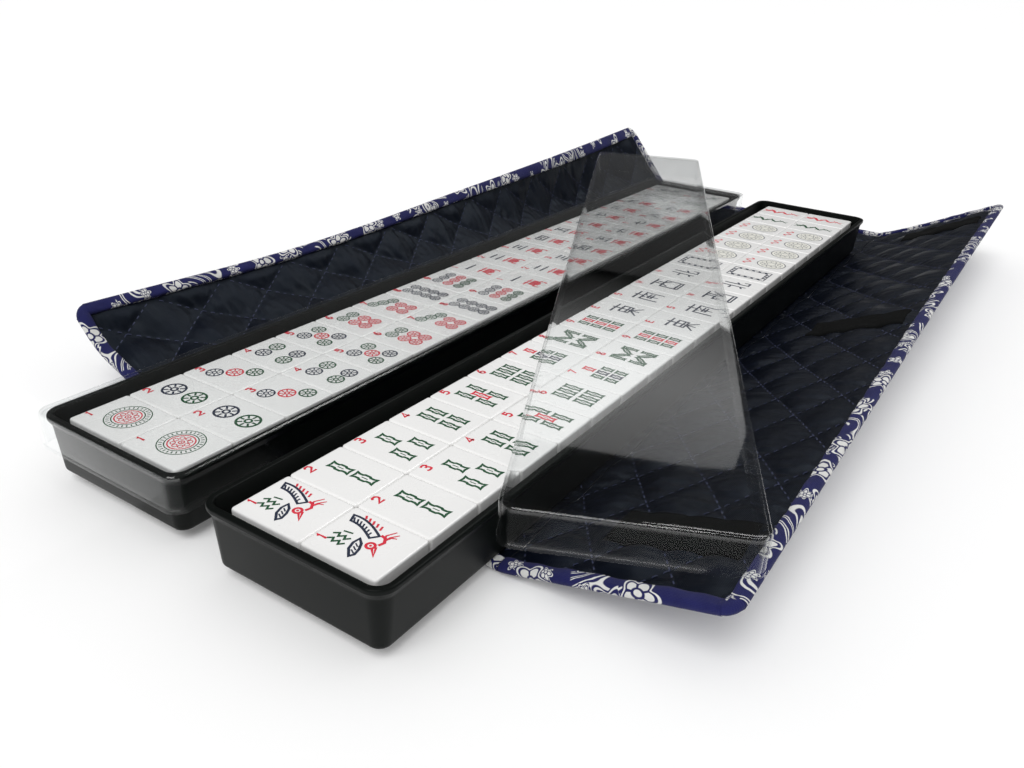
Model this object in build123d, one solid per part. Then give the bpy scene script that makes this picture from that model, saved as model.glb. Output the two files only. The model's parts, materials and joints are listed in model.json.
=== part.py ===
from build123d import *
from math import atan2, cos, degrees, hypot, radians, sin
import os

# Travel case for a set of game tiles: two long trays of tiles, a clear cover for each, and a
# quilted cloth wrap that folds round them.
#
# Frame: millimetres, +X across the trays, +Y along them towards their far ends, +Z up.
# The origin lies on the underside of the wrap, midway between the trays and midway along the wrap.

os.makedirs("parts", exist_ok=True)

# ---- tiles -----------------------------------------------------------------
tile_width = 29.4        # across the tray
tile_length = 24.0       # along the tray
tile_height = 19.0
tile_gap = 0.12          # between neighbours
tile_corner = 1.1        # softened upright edges
tile_edge = 0.9          # softened edge round the face
tile_columns = 2
tile_rows = 20

# ---- trays -----------------------------------------------------------------
tray_floor = 1.9
tray_wall = 1.6
tray_height = 23.5
tray_draft = 1.55        # how far each wall leans out, from foot to rim
tray_side_room = 3.1     # from the tiles to the foot of the inner wall, each side
tray_near_room = 1.9     # the same at the near end
tray_far_room = 0.7
tray_foot_radius = 2.0   # outside, where wall and floor meet
tray_plan_corner = 1.5   # at the floor's corners, inside the wall
tray_foot_in = 1.2       # from the floor's edge to the inner wall's foot
rim_reach = 1.35         # how far the rim stands out from the wall
rim_depth = 4.2          # from the top down to where the flare starts
rim_lip = 1.7            # height of the rim's upright edge, its rounding included
rim_width_share = 0.34   # share of the reach by which the inner face flares too
rim_round = 0.8
tile_seat = 0.1          # under the tiles

# ---- clear covers ----------------------------------------------------------
lid_wall = 1.0
lid_height = 14.0
lid_room = 0.4           # between rim and cover, all round
lid_plan_corner = 3.0    # at the flat top's corners, inside the shoulder
lid_shoulder = 1.6       # rounded edge round the top
lid_bead = 0.25          # thickened lower edge
lid_bead_height = 1.3
lid_seat = 0.2           # over whatever carries a cover

# ---- quilted wrap ----------------------------------------------------------
wrap_length = 500.0
lining_thickness = 2.5   # satin, wadding and backing quilted together
layer_gap = 0.1
cover_thickness = 0.8    # printed cotton
binding_width = 10.0
corner_radius = 7.0
left_margin = 8.0        # from the foot of the left tray to the fold
right_margin = 2.0
fold_gap = 0.5
tape_width = 21.0        # hook-and-loop tape
tape_thickness = 1.6
loop_tape_start = 26.0   # from the right fold
hook_tape_start = 14.0   # from the left fold
tape_end_room = 0.6      # between a tape and the binding
tape_pitch = 214.0
tape_count = 3

# ---- where things stand ----------------------------------------------------
tray_pitch = 88.9        # between the two trays' centre lines
tray_overhang = 55.8     # how far the right tray stands out beyond the wrap
left_tray_setback = 3.2  # how much further back the left tray stands
tray_seat = 0.3          # between wrap and tray
loose_lid_x = 126.9      # middle of the loose cover's near edge
loose_lid_y = -253.0
loose_lid_yaw = 25.6     # degrees, anticlockwise from above

# Each flap is set by sections along its length: how far along the wrap, as a share of its length,
# then the underside of the flap as (run from the fold, height), from the fold to the outer edge.
left_sections = (
    (-0.5, ((0, 0), (20, 9.0), (41, 18.5), (57, 34.5))),
    (-0.25, ((0, 0), (18, 8.0), (36, 18.0), (50.5, 33.5))),
    (0.03, ((0, 0), (16, 7.0), (34, 18.5), (48.5, 39.5))),
    (0.35, ((0, 0), (16, 5.5), (35, 17.5), (46.5, 48.0))),
    (0.5, ((0, 0), (11, 10.0), (25, 27.0), (46.5, 51.5))),
)
right_sections = (
    (-0.5, ((0, 0), (20, 5.0), (48, 12.5), (78.5, 20.5))),
    (-0.33, ((0, 0), (20, 5.5), (48, 15.5), (78.5, 25.0))),
    (-0.02, ((0, 0), (20, 7.0), (46, 18.0), (78.0, 32.0))),
    (0.5, ((0, 0), (20, 8.0), (46, 21.0), (76.5, 36.5))),
)

# ---- worked out from the values above --------------------------------------
wrap_thickness = cover_thickness + layer_gap + lining_thickness
block_width = tile_columns * tile_width + (tile_columns - 1) * tile_gap
block_length = tile_rows * tile_length + (tile_rows - 1) * tile_gap
foot_out = tray_foot_in + tray_wall                        # floor's edge to the outer wall's foot
rim_out = foot_out + tray_draft + rim_reach                # and to the rim
floor_width = block_width + 2 * (tray_side_room - tray_foot_in)
floor_length = block_length + tray_near_room + tray_far_room - 2 * tray_foot_in
foot_width = floor_width + 2 * foot_out
rim_width = floor_width + 2 * rim_out
rim_length = floor_length + 2 * rim_out
lid_width = rim_width + 2 * (lid_room + lid_wall)
lid_length = rim_length + 2 * (lid_room + lid_wall)
lid_skirt_out = lid_shoulder + lid_wall                    # flat top's edge to the skirt's outside
tray_z = wrap_thickness + tray_seat
tile_z = tray_z + tray_floor + tile_seat
rim_z = tray_z + tray_height
lid_top_z = rim_z + lid_seat + lid_wall
right_tray_x = tray_pitch / 2
left_tray_x = -tray_pitch / 2
right_tray_y = -wrap_length / 2 - tray_overhang + rim_length / 2
left_tray_y = right_tray_y + left_tray_setback
block_shift = (tray_near_room - tray_far_room) / 2         # the tiles stand against the far wall
left_fold_x = left_tray_x - foot_width / 2 - left_margin
right_fold_x = right_tray_x + foot_width / 2 + right_margin
whole = 10 * wrap_length                                   # longer than the object, for cutting blocks
standing = (Align.CENTER, Align.CENTER, Align.MIN)


def save(shape, name):
    """Write one sub-part to its own file."""
    shape.label = name
    export_step(shape, f"parts/{name}.step")


# ---- trays and covers ------------------------------------------------------

def rounded_path(width, length, radius):
    """Closed line round a rounded rectangle, starting in the middle of its right side."""
    x, y, r = width / 2, length / 2, radius
    with BuildLine() as line:
        Line((x, 0), (x, y - r))
        RadiusArc((x, y - r), (x - r, y), -r)
        Line((x - r, y), (-x + r, y))
        RadiusArc((-x + r, y), (-x, y - r), -r)
        Line((-x, y - r), (-x, -y + r))
        RadiusArc((-x, -y + r), (-x + r, -y), -r)
        Line((-x + r, -y), (x - r, -y))
        RadiusArc((x - r, -y), (x, -y + r), -r)
        Line((x, -y + r), (x, 0))
    return line.wire()


def swept_wall(corners, width, length, radius):
    """Carry a wall's section round a rounded rectangle.

    corners are the section's (distance out, height, rounding), in order.
    """
    points = [(width / 2 + out, height) for out, height, rounding in corners]
    with BuildSketch(Plane.XZ) as section:
        with BuildLine():
            FilletPolyline(*points, radius=[corner[2] for corner in corners], close=True)
        make_face()
    return sweep(section.sketch.faces()[0], path=rounded_path(width, length, radius))


def make_tray(x, y):
    """One open tray, standing on the wrap: leaning walls with a flared, rounded rim."""
    wall_top = foot_out + tray_draft
    inner_top = wall_top - tray_wall + rim_width_share * rim_reach
    section = (
        (0, 0, 0),
        (foot_out, 0, tray_foot_radius),
        (wall_top, tray_height - rim_depth, 0),
        (rim_out, tray_height - rim_lip, 0),
        (rim_out, tray_height, rim_round),
        (inner_top, tray_height, 0),
        (tray_foot_in, tray_floor, 0),
        (0, tray_floor, 0),
    )
    wall = swept_wall(section, floor_width, floor_length, tray_plan_corner)
    floor = extrude(RectangleRounded(floor_width, floor_length, tray_plan_corner), tray_floor)
    return Pos(x, y, tray_z) * (wall + floor)


def make_lid():
    """One clear cover, open side down, with the middle of its lower edge at the origin."""
    section = (
        (0, lid_height, 0),
        (0, lid_height - lid_wall, 0),
        (lid_skirt_out - lid_wall, lid_height - lid_wall, 0),
        (lid_skirt_out - lid_wall, 0, 0),
        (lid_skirt_out + lid_bead, 0, 0),
        (lid_skirt_out + lid_bead, lid_bead_height, 0),
        (lid_skirt_out, lid_bead_height + lid_bead, 0),
        (lid_skirt_out, lid_height, lid_shoulder),
    )
    width = lid_width - 2 * lid_skirt_out
    length = lid_length - 2 * lid_skirt_out
    skirt = swept_wall(section, width, length, lid_plan_corner)
    top = extrude(RectangleRounded(width, length, lid_plan_corner), lid_wall)
    return skirt + Pos(0, 0, lid_height - lid_wall) * top


# ---- tiles -----------------------------------------------------------------

def make_tile():
    """One blank tile, standing on its back, its upright edges and its face softened."""
    blank = Box(tile_width, tile_length, tile_height, align=standing)
    blank = chamfer(blank.edges().filter_by(Axis.Z), tile_corner)
    return chamfer(blank.faces().sort_by(Axis.Z)[-1].edges(), tile_edge)


def tile_row(blank, tray_x, tray_y, row):
    """Like tiles side by side; rows are counted from the near end."""
    pitch_x = tile_width + tile_gap
    pitch_y = tile_length + tile_gap
    y = tray_y + block_shift - block_length / 2 + tile_length / 2 + row * pitch_y
    places = [(column - (tile_columns - 1) / 2) * pitch_x for column in range(tile_columns)]
    return Compound(children=[Pos(tray_x + x, y, tile_z) * blank for x in places])


# ---- wrap ------------------------------------------------------------------
# A flap is modelled with its fold along the Y axis and its outer edge towards +X. place_flap
# then moves it to its side of the floor.

def raise_points(points, amount):
    """Move a section's points off the underside, square to it, but straight up at the fold."""
    raised = [(points[0][0], points[0][1] + amount)]
    for number in range(1, len(points)):
        before = points[number - 1]
        after = points[min(number + 1, len(points) - 1)]
        slope = atan2(after[1] - before[1], after[0] - before[0])
        run, height = points[number]
        raised.append((run - amount * sin(slope), height + amount * cos(slope)))
    return raised


def flap_sheet(sections, low, high):
    """Cloth between two heights over a flap's underside, lofted through the flap's sections."""
    faces = []
    for place, points in sections:
        under, over = [
            [Vector(run, place * wrap_length, height) for run, height in raise_points(points, amount)]
            for amount in (low, high)
        ]
        edges = [Spline(*under), Spline(*over), Line(under[0], over[0]), Line(under[-1], over[-1])]
        faces.append(make_face(Wire(edges)))
    return loft(faces, ruled=True)


def quilted_window(sections, inset):
    """Upright block over the part of a flap that the binding leaves open, less an inset."""
    end = wrap_length / 2 - binding_width - inset
    border = []
    for place, points in sections:
        (run_a, height_a), (run_b, height_b) = points[-2:]
        across_share = (run_b - run_a) / hypot(run_b - run_a, height_b - height_a)
        border.append((run_b - binding_width * across_share - inset, place * wrap_length))
    plan = [(-whole, -wrap_length)] + border + [(-whole, wrap_length)]
    window = extrude(make_face(Polyline(*plan, close=True)), whole, both=True)
    return window & Box(2 * whole, 2 * end, whole)


def make_flap(sections):
    """Lining, printed cover and edge binding of one flap."""
    full = flap_sheet(sections, 0, wrap_thickness)
    ends = [full.faces().sort_by(Axis.Y)[number] for number in (0, -1)]
    corners = [end.edges().sort_by(Axis.X)[-1] for end in ends]
    inside = quilted_window(sections, layer_gap)
    return {
        "lining": flap_sheet(sections, cover_thickness + layer_gap, wrap_thickness) & inside,
        "cover": flap_sheet(sections, 0, cover_thickness) & inside,
        "binding": fillet(corners, corner_radius) - quilted_window(sections, 0),
    }


def make_tapes(sections, low, start):
    """Hook-and-loop tapes that run across a flap, from a place near the fold to the binding."""
    layer = flap_sheet(sections, low, low + tape_thickness) & quilted_window(sections, tape_end_room)
    tapes = []
    for number in range(tape_count):
        y = (number - (tape_count - 1) / 2) * tape_pitch
        strip = Pos(start + whole / 2, y, 0) * Box(whole, tape_width, whole)
        tapes.append((layer & strip).solids()[0])
    return Compound(children=tapes)


def place_flap(shape, side):
    """Move a flap to the left (-1) or right (+1) side of the floor."""
    if side < 0:
        return Pos(left_fold_x - fold_gap, 0, 0) * mirror(shape, about=Plane.YZ)
    return Pos(right_fold_x + fold_gap, 0, 0) * shape


# ---- writing the trays and covers ------------------------------------------
save(make_tray(right_tray_x, right_tray_y), "tray_right")
save(make_tray(left_tray_x, left_tray_y), "tray_left")
lid = make_lid()
save(Pos(left_tray_x, left_tray_y, lid_top_z - lid_height) * lid, "lid_left")

# The loose cover lies across both trays, on the left cover's edge and the right tray's rim.
left_rest_x = left_tray_x + lid_width / 2 - lid_shoulder
right_rest_x = right_tray_x + rim_width / 2 - rim_round
tilt = degrees(atan2(lid_top_z - rim_z, right_rest_x - left_rest_x))
loose_x = loose_lid_x - lid_length / 2 * sin(radians(loose_lid_yaw))
loose_y = loose_lid_y + lid_length / 2 * cos(radians(loose_lid_yaw))
loose_z = rim_z + lid_seat + (right_rest_x - loose_x) * sin(radians(tilt))
save(Pos(loose_x, loose_y, loose_z) * Rot(0, tilt, 0) * Rot(0, 0, loose_lid_yaw) * lid, "lid_loose")

# ---- writing the tiles, near row first -------------------------------------
left_rows = [f"dots_{n}" for n in range(1, 10)]
left_rows += [f"characters_{n}" for n in range(1, 10)]
left_rows += ["flowers_1", "flowers_2"]
right_rows = [f"bamboo_{n}" for n in range(1, 10)]
right_rows += ["wind_east", "wind_south", "wind_west", "wind_north", "dragon_white"]
right_rows += ["joker_1", "joker_2", "joker_3", "joker_4", "dragon_green", "dragon_red"]
tile = make_tile()
for row, name in enumerate(left_rows):
    save(tile_row(tile, left_tray_x, left_tray_y, row), name)
for row, name in enumerate(right_rows):
    save(tile_row(tile, right_tray_x, right_tray_y, row), name)

# ---- writing the wrap ------------------------------------------------------
middle_x = (left_fold_x + right_fold_x) / 2
middle_width = right_fold_x - left_fold_x
inside_length = wrap_length - 2 * (binding_width + layer_gap)
lining = Box(middle_width, inside_length, lining_thickness, align=standing)
save(Pos(middle_x, 0, cover_thickness + layer_gap) * lining, "floor_lining")
save(Pos(middle_x, 0, 0) * Box(middle_width, inside_length, cover_thickness, align=standing), "floor_cover")
strip = Box(middle_width, binding_width, wrap_thickness, align=standing)
strip_y = (wrap_length - binding_width) / 2
save(Compound(children=[Pos(middle_x, y, 0) * strip for y in (-strip_y, strip_y)]), "floor_binding")

for name, side, sections in (("left", -1, left_sections), ("right", 1, right_sections)):
    for layer, shape in make_flap(sections).items():
        save(place_flap(shape, side), f"{name}_flap_{layer}")
loop_low = wrap_thickness + layer_gap
save(place_flap(make_tapes(right_sections, loop_low, loop_tape_start), 1), "loop_tapes")
hook_low = -layer_gap - tape_thickness
save(place_flap(make_tapes(left_sections, hook_low, hook_tape_start), -1), "hook_tapes")
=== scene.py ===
import json
import math
from functools import partialmethod

import bmesh
import bpy
import numpy as np
from mathutils import Matrix, Vector


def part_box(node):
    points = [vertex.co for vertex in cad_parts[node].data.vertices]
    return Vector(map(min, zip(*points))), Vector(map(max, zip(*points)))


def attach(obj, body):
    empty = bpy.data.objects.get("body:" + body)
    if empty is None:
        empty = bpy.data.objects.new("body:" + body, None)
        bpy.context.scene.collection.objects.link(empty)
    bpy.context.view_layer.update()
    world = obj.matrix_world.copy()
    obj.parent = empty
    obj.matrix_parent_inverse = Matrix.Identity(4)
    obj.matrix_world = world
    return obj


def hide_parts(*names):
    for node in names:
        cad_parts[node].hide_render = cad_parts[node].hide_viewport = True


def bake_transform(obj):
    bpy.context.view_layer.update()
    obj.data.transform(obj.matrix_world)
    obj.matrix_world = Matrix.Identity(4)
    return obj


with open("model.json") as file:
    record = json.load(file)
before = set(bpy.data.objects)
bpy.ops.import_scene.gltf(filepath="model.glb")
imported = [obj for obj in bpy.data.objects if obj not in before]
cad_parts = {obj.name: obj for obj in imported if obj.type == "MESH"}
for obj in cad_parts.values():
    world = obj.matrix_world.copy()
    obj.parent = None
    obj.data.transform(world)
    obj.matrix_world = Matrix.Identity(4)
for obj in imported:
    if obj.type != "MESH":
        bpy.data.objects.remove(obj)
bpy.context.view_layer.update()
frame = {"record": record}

# ---- floor, light and camera ----
# A wide pale floor under a soft white sky, with one broad soft sun from the near side and a
# camera that looks down along the trays from beyond their near right corner.

scene = bpy.context.scene
scene.view_settings.view_transform = "Standard"

camera_place = (0.2076, -0.4433, 0.1804)
camera_right = Vector((0.82909, 0.55755, 0.04183))
camera_down = Vector((0.27526, -0.34191, -0.89852))
camera_ahead = Vector((-0.48667, 0.75646, -0.43694))
camera = bpy.data.objects.new("camera", bpy.data.cameras.new("camera"))
camera.data.sensor_width = 36.0
camera.data.lens = 31.27
camera.data.clip_start = 0.01
turn = Matrix((camera_right, -camera_down, -camera_ahead)).transposed()
camera.matrix_world = Matrix.Translation(camera_place) @ turn.to_4x4()
scene.collection.objects.link(camera)
scene.camera = camera

sun = bpy.data.objects.new("sun", bpy.data.lights.new("sun", "SUN"))
sun.data.energy = 1.35
sun.data.angle = math.radians(40)
sun.rotation_euler = (math.radians(32), math.radians(6), 0)
scene.collection.objects.link(sun)


class Socket:
    """A node's output that can be used in arithmetic: each operator adds one Math node."""

    def __init__(self, finish, link):
        self.finish = finish
        self.link = link

    def math(self, operation, *others):
        values = dict(enumerate((self,) + others))
        return self.finish.node("ShaderNodeMath", {"operation": operation}, values)

    __add__ = __radd__ = partialmethod(math, "ADD")
    __sub__ = partialmethod(math, "SUBTRACT")
    __mul__ = __rmul__ = partialmethod(math, "MULTIPLY")
    __truediv__ = partialmethod(math, "DIVIDE")

    def __rsub__(self, other):
        return self.finish.node("ShaderNodeMath", {"operation": "SUBTRACT"}, {0: other, 1: self})

    def beside(self, name):
        """Another output of the same node."""
        return Socket(self.finish, self.link.node.outputs[name])


class Finish:
    """A material, or the sky, made node by node."""

    def __init__(self, name, owner=None):
        self.owner = owner or bpy.data.materials.new(name)
        self.owner.use_nodes = True
        self.tree = self.owner.node_tree
        self.shader = self.tree.nodes.get("Principled BSDF")

    def node(self, kind, settings=None, values=None, output=0):
        """Add a node: its settings first, then a number, colour or link for each socket named."""
        made = self.tree.nodes.new(kind)
        for key, value in (settings or {}).items():
            setattr(made, key, value)
        for key, value in (values or {}).items():
            self.plug(made.inputs[key], value)
        return Socket(self, made.outputs[output])

    def plug(self, socket, value):
        if isinstance(value, Socket):
            self.tree.links.new(value.link, socket)
        elif hasattr(value, "__len__") and len(value) == 3 and socket.type == "RGBA":
            socket.default_value = tuple(value) + (1.0,)
        else:
            socket.default_value = value

    def set(self, **values):
        """Set the surface's own sockets; an underscore in a name stands for a space."""
        for key, value in values.items():
            self.plug(self.shader.inputs[key.replace("_", " ")], value)

    def place(self, kind="Object"):
        return self.node("ShaderNodeTexCoord", output=kind)

    def rays(self, *kinds):
        """1 for a ray of any of these kinds, such as Camera or Glossy, and 0 for all others."""
        found = [self.node("ShaderNodeLightPath", output=f"Is {kind} Ray") for kind in kinds]
        return sum(found[1:], found[0]).math("MINIMUM", 1.0) if found[1:] else found[0]

    def noise(self, scale, detail=2.0, vector=None):
        values = {"Vector": vector or self.place(), "Scale": scale, "Detail": detail}
        return self.node("ShaderNodeTexNoise", None, values, "Fac")

    def wave(self, direction, values):
        return self.node("ShaderNodeTexWave", {"bands_direction": direction}, values, "Fac")

    def vector(self, operation, *values):
        return self.node("ShaderNodeVectorMath", {"operation": operation}, dict(enumerate(values)))

    def mix(self, share, first, second):
        values = {"Factor": share, 6: first, 7: second}
        return self.node("ShaderNodeMix", {"data_type": "RGBA"}, values, 2)

    def step(self, value, low, high):
        """0 below low, 1 above high, smooth between."""
        values = {"Value": value, "From Min": low, "From Max": high}
        return self.node("ShaderNodeMapRange", {"interpolation_type": "SMOOTHSTEP"}, values)

    def bump(self, height, distance, strength):
        values = {"Height": height, "Distance": distance, "Strength": strength}
        self.plug(self.shader.inputs["Normal"], self.node("ShaderNodeBump", None, values))


sky = Finish("sky", bpy.data.worlds.new("sky"))
scene.world = sky.owner
sky_light = 0.68
sky_gloss = 0.06
background = sky.tree.nodes["Background"]
background.inputs["Color"].default_value = (1, 1, 1, 1)
strength = sky_light + sky.rays("Glossy") * (sky_gloss - sky_light)
strength = strength + sky.rays("Camera", "Transmission") * (1.0 - sky_light)
sky.plug(background.inputs["Strength"], strength)

unit_square = ((0, 0), (1, 0), (1, 1), (0, 1))


def rectangle(name, corners):
    """An object of one face, with a UV map that runs from 0 to 1 over it."""
    mesh = bpy.data.meshes.new(name)
    mesh.from_pydata(corners, [], [(0, 1, 2, 3)])
    mesh.uv_layers.new(name="face").data.foreach_set("uv", np.ravel(unit_square))
    made = bpy.data.objects.new(name, mesh)
    scene.collection.objects.link(made)
    return made


ground_size = 40.0
ground_drop = 0.0004
ground = rectangle("ground", [((x - 0.5) * ground_size, (y - 0.5) * ground_size, -ground_drop)
                              for x, y in unit_square])
paper = Finish("pale_floor")
paper.set(
    Base_Color=(0.9, 0.9, 0.9),
    Roughness=0.9,
    Specular_IOR_Level=0.1,
    Emission_Color=paper.mix(paper.rays("Camera", "Transmission", "Glossy"), (0, 0, 0), (0.1, 0.1, 0.1)),
    Emission_Strength=1.0,
)
ground.data.materials.append(paper.owner)

# Three soft boxes that only gloss and clear plastic show. Two stand beyond the far ends: a low
# one, the pale veil on a lid's flat top, and a high one for the satin of the left flap and the
# lids' edges. The third lies on the floor before the left tray, for its lid's skirt.

box_middle = Vector((0.1, -0.2, 0.04))
box_distance = 1.8


def standing(turns, heights):
    """Corners of a box that fills these angles, in degrees, as seen from the case's middle."""
    corners = []
    for turn, height in unit_square:
        t, h = math.radians(turns[turn]), math.radians(heights[height])
        way = Vector((math.sin(t) * math.cos(h), math.cos(t) * math.cos(h), math.sin(h)))
        corners.append(box_middle + box_distance * way)
    return corners


def soft_box(name, points, glow, fade):
    """A lit rectangle, dark at its first edge and full past the share of its height called fade."""
    made = rectangle(name, points)
    for kind in ("camera", "diffuse", "shadow", "volume_scatter"):
        setattr(made, f"visible_{kind}", False)
    lamp = Finish(name)
    level = lamp.node("ShaderNodeSeparateXYZ", None, {0: lamp.place("UV")}, "Y")
    lamp.set(
        Base_Color=(0, 0, 0),
        Specular_IOR_Level=0.0,
        Emission_Color=lamp.mix(lamp.step(level, 0.0, fade), (0, 0, 0), (1, 1, 1)),
        Emission_Strength=glow,
    )
    made.data.materials.append(lamp.owner)


soft_box("veil_box", standing((-34.0, -14.2), (17.0, 30.4)), 1.1, 0.75)
soft_box("high_box", standing((-18.0, 42.0), (36.0, 60.0)), 4.2, 0.5)
soft_box("low_box", [(-0.30, -0.40, 0.0), (-0.04, -0.40, 0.0), (-0.04, -0.27, 0.0), (-0.30, -0.27, 0.0)],
         1.15, 0.2)

# ---- trays ----
# Two long open trays, vacuum-formed in black ABS with a fine grain. The walls lean out to a
# flared, rolled rim, and the foot is rounded. Each one stands loose on the lining.

mm = 0.001


def merge(*coordinates):
    """Points from their coordinates, each an array or one number for all of them."""
    return np.stack(np.broadcast_arrays(*coordinates), -1)


def unit(vectors):
    """Vectors divided by their lengths."""
    return vectors / np.maximum(np.linalg.norm(vectors, axis=-1, keepdims=True), 1e-6)


def ring_faces(rows, around):
    """Quads between rows of points, each row a closed ring."""
    i, j = np.meshgrid(np.arange(rows - 1) * around, np.arange(around), indexing="ij")
    k = (j + 1) % around
    return merge(i + j, i + k, i + around + k, i + around + j).reshape(-1, 4)


def tube_faces(rows, around):
    """The faces of a tube of such rings, closed by a flat face at each end."""
    last = (rows - 1) * around
    return ring_faces(rows, around).tolist() + [list(range(around)), list(range(last, last + around))]


def rounded_rectangle(width, length, radius, segments):
    """Points and outward directions round a rectangle: four quarter circles joined by lines."""
    turns = np.linspace(0, math.pi / 2, segments + 1)
    angle = (turns + np.arange(4)[:, None] * math.pi / 2).ravel()
    outward = merge(np.cos(angle), np.sin(angle))
    signs = np.repeat([[1, 1], [-1, 1], [-1, -1], [1, -1]], segments + 1, 0)
    middle = signs * (np.array([width, length]) / 2 - radius)
    return middle + radius * outward, outward


def rounded_corners(corners, segments=6):
    """Section points with each corner, (out, height, radius), replaced by a tangent arc.

    The arc is the quadratic curve from a tangent point on one side, by the corner, to the other.
    """
    points = []
    xy = np.array([corner[:2] for corner in corners], float)
    for number, (out, height, radius) in enumerate(corners):
        here = xy[number]
        if radius == 0 or number in (0, len(corners) - 1):
            points.append(here[None])
            continue
        before, after = unit(xy[number - 1] - here), unit(xy[number + 1] - here)
        half = math.acos(np.clip(before @ after, -1, 1)) / 2
        reach = radius / math.tan(half)
        t = np.linspace(0, 1, segments + 1)[:, None]
        first, last = here + before * reach, here + after * reach
        points.append((1 - t) ** 2 * first + 2 * t * (1 - t) * here + t ** 2 * last)
    return np.concatenate(points)


def swept(section, width, length, radius, segments=8):
    """Vertices and faces of a section (out, height) carried round a rounded rectangle.

    A point is the rectangle's point plus out times its outward direction, at that height. Both
    ends of the section are closed by a flat face.
    """
    path, outward = rounded_rectangle(width, length, radius, segments)
    flat = path + section[:, :1, None] * outward
    points = merge(flat[..., 0], flat[..., 1], section[:, 1:]).reshape(-1, 3)
    faces = tube_faces(len(section), len(path))
    faces[-2].reverse()
    return points, faces


def piece(name, parts, finishes, sharp=32.0, outward=True):
    """One mesh object from parts, each (points in mm, faces, finish number)."""
    points, faces, numbers, start = [], [], [], 0
    for part_points, part_faces, number in parts:
        points.append(part_points)
        faces += [[start + index for index in face] for face in part_faces]
        numbers += [number] * len(part_faces)
        start += len(part_points)
    mesh = bpy.data.meshes.new(name)
    mesh.from_pydata((np.concatenate(points) * mm).tolist(), [], faces)
    for finish in finishes:
        mesh.materials.append(finish.owner)
    mesh.polygons.foreach_set("material_index", numbers)
    if outward:
        work = bmesh.new()
        work.from_mesh(mesh)
        bmesh.ops.recalc_face_normals(work, faces=work.faces)
        work.to_mesh(mesh)
        work.free()
    mesh.shade_smooth()
    mesh.set_sharp_from_angle(angle=math.radians(sharp))
    made = bpy.data.objects.new(name, mesh)
    scene.collection.objects.link(made)
    return made


def box_of(node):
    """A node's lowest and highest corners, in millimetres."""
    low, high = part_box(node)
    return np.array(low) / mm, np.array(high) / mm


def foot(low, high):
    """The middle of a box's underside."""
    return np.array([(low[0] + high[0]) / 2, (low[1] + high[1]) / 2, low[2]])


tray_wall = 1.6
tray_floor = 1.9
tray_draft = 1.55
rim_reach = 1.35
rim_lip = 1.7
rim_depth = 4.2
rim_inner_reach = 0.46
tray_foot_in = 1.2
tray_plan_corner = 1.5

black_plastic = Finish("black_plastic")
grain = black_plastic.noise(5200.0, 1.0)
cloud = black_plastic.noise(22.0, 3.0)
black_plastic.set(
    Base_Color=black_plastic.mix(cloud, (0.0032, 0.0042, 0.0038), (0.006, 0.0075, 0.0068)),
    Roughness=0.28 + cloud * 0.14,
    Specular_IOR_Level=0.1,
)
black_plastic.bump(grain, 0.00006, 0.5)

wall_foot = tray_foot_in + tray_wall
wall_top = wall_foot + tray_draft
rim_out = wall_top + rim_reach
inner_top = wall_top - tray_wall + rim_inner_reach

# Each corner of the section is (how far out, how high, its radius).

for node, body in (("tray_right", "right_tray"), ("tray_left", "left_tray")):
    low, high = box_of(node)
    size = high - low
    section = rounded_corners((
        (0, 0, 0),
        (wall_foot, 0, 2.0),
        (wall_top, size[2] - rim_depth, 2.6),
        (rim_out, size[2] - rim_lip, 0.5),
        (rim_out, size[2], 0.85),
        (inner_top, size[2], 0.7),
        (tray_foot_in, tray_floor, 0.8),
        (0, tray_floor, 0),
    ))
    points, faces = swept(section, size[0] - 2 * rim_out, size[1] - 2 * rim_out, tray_plan_corner, 10)
    tray = piece(f"{node}_shell", [(points + foot(low, high), faces, 0)], [black_plastic])
    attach(tray, body)
    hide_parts(node)

# ---- clear lids ----
# One lid for each tray, vacuum-formed in clear sheet about a millimetre thick, with a rounded
# shoulder and a thickened lower edge. One is on its tray; the other lies across both, turned.

lid_wall = 1.0
lid_height = 14.0
lid_shoulder = 1.6
lid_bead = 0.25
lid_bead_height = 1.3
lid_edge_zone = 0.6
lid_plan_corner = 3.0
loose_lid_yaw = math.radians(25.6)
grazing_power = 4.8
grazing_gloss = 0.95
thick_gloss = 0.05
least_gloss = 0.006

clear_plastic = Finish("clear_plastic")
facing = clear_plastic.node("ShaderNodeLayerWeight", None, {"Blend": 0.5}, "Facing")
warp = clear_plastic.noise(9.0, 1.0)
edge = clear_plastic.node("ShaderNodeAttribute", {"attribute_name": "edge"}, None, "Fac")
through = clear_plastic.node("ShaderNodeBsdfTransparent", None, {"Color": (0.985, 0.99, 0.99)})
shine = clear_plastic.node("ShaderNodeBsdfAnisotropic", None, {"Color": (1, 1, 1), "Roughness": 0.03})
dent = clear_plastic.node("ShaderNodeBump", None, {"Height": warp, "Distance": 0.004, "Strength": 0.3})
clear_plastic.plug(shine.link.node.inputs["Normal"], dent)
share = facing.math("POWER", grazing_power) * grazing_gloss + edge * thick_gloss + least_gloss
share = share * (1 - clear_plastic.rays("Shadow"))
mixed = clear_plastic.node("ShaderNodeMixShader", None, {0: share, 1: through, 2: shine})
output = clear_plastic.tree.nodes["Material Output"]
clear_plastic.plug(output.inputs["Surface"], mixed)


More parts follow.
